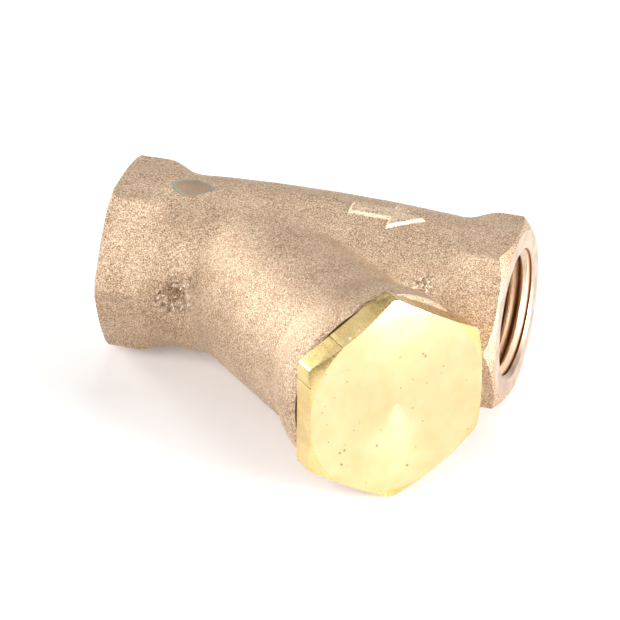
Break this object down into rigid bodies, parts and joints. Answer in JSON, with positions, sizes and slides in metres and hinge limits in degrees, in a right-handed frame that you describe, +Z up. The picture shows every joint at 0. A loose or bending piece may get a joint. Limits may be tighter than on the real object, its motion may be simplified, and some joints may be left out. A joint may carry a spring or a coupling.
{
  "type": "basket strainer",
  "caption": "Y-pattern basket strainer: cast run with threaded hex ends, an inclined branch and a hex screw cap that closes in a perforated basket.",
  "frame": {"origin": "on the table, under the middle of the strainer's bounding box", "axes": "+X along the run, in the direction of flow from inlet to outlet; the branch points towards +X and -Y; +Z up from the table"},
  "size_m": [0.0675, 0.0626, 0.0357],
  "materials": {
    "cast_bronze": "sand-cast bronze, grainy, with machined port faces and rim",
    "turned_brass": "drawn hexagon bar, face turned bright",
    "gasket_fibre": "compressed fibre sheet",
    "stainless_sheet": "rolled and pressed stainless sheet",
    "stainless_wire": "woven stainless wire cloth"
  },
  "bodies": {
    "body": {"strainer_body": "cast_bronze"},
    "basket": {"basket_sleeve": "stainless_sheet", "basket_mesh": "stainless_wire", "basket_top_ring": "stainless_sheet", "basket_end_ring": "stainless_sheet", "basket_floor": "stainless_sheet"},
    "gasket": {"cap_gasket": "gasket_fibre"},
    "cap": {"cap": "turned_brass"}
  },
  "joints": [
    {"name": "basket_draw", "type": "slide", "parent": "body", "child": "basket", "axis": [0.7071, -0.7045, 0.061], "range_m": [0, 0.046]},
    {"name": "cap_travel", "type": "slide", "parent": "basket", "child": "gasket", "axis": [0.7071, -0.7045, 0.061], "range_m": [0, 0.0085]},
    {"name": "cap_turn", "type": "hinge", "parent": "gasket", "child": "cap", "pos_m": [0.01963, -0.01713, 0.01771], "axis": [0.7071, -0.7045, 0.061], "range_deg": [0, 1980]}
  ],
  "couplings": [
    {"joint": "cap_travel", "follows": "cap_turn", "m_per_rad": 0.00023873}
  ]
}
